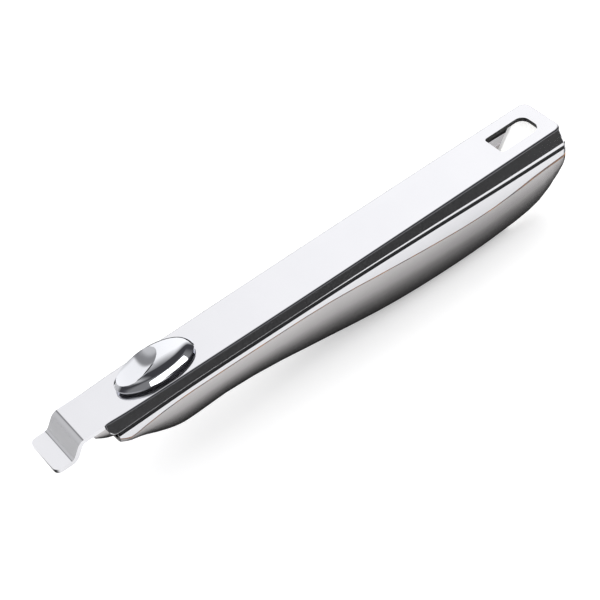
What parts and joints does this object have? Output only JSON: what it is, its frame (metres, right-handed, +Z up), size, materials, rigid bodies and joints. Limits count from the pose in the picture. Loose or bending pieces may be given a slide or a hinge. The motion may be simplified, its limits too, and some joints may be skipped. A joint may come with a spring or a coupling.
{
  "type": "detachable cookware handle",
  "caption": "Slim polished steel handle with a stepped hook tongue at the front, a sprung oval thumb slide, a hollow hull-shaped grip and a hanging hole through the rear end.",
  "frame": {"origin": "bottom centre of the handle's bounding box, on the surface it rests on", "axes": "+X runs along the handle from the hook tab to the rear end, +Y to its left side, +Z up out of the flat top face"},
  "size_m": [0.1924, 0.0206, 0.0385],
  "materials": {
    "polished_steel": "mirror-polished stainless steel",
    "satin_steel": "softly polished stainless steel",
    "chrome": "bright chrome plate",
    "plain_steel": "plain mill-finished steel",
    "spring_steel": "drawn spring steel",
    "black_silicone": "matt black silicone",
    "pale_nylon": "smooth off-white nylon",
    "grey_nylon": "dark grey nylon"
  },
  "bodies": {
    "handle": {"top_channel": "polished_steel", "joint_seal": "black_silicone", "side_frame": "polished_steel", "belly_shell": "satin_steel", "nose_guide": "satin_steel", "bolt_bridge": "plain_steel", "spring_stop": "plain_steel", "spring_rod": "plain_steel", "rod_clip": "spring_steel", "return_spring": "spring_steel", "eye_bush": "pale_nylon", "front_standoff": "plain_steel", "front_screw": "plain_steel", "rear_standoff": "plain_steel", "rear_screw": "plain_steel"},
    "slide": {"thumb_button": "chrome", "slide_washer": "grey_nylon", "locking_bolt": "plain_steel", "button_washer": "plain_steel", "button_screw": "plain_steel", "spring_seat": "plain_steel"}
  },
  "joints": [
    {"name": "thumb_slide", "type": "slide", "parent": "handle", "child": "slide", "axis": [1, 0, 0], "range_m": [0, 0.007], "stiffness_N_per_m": 400, "springref_m": -0.004, "deforming": ["return_spring"]}
  ]
}
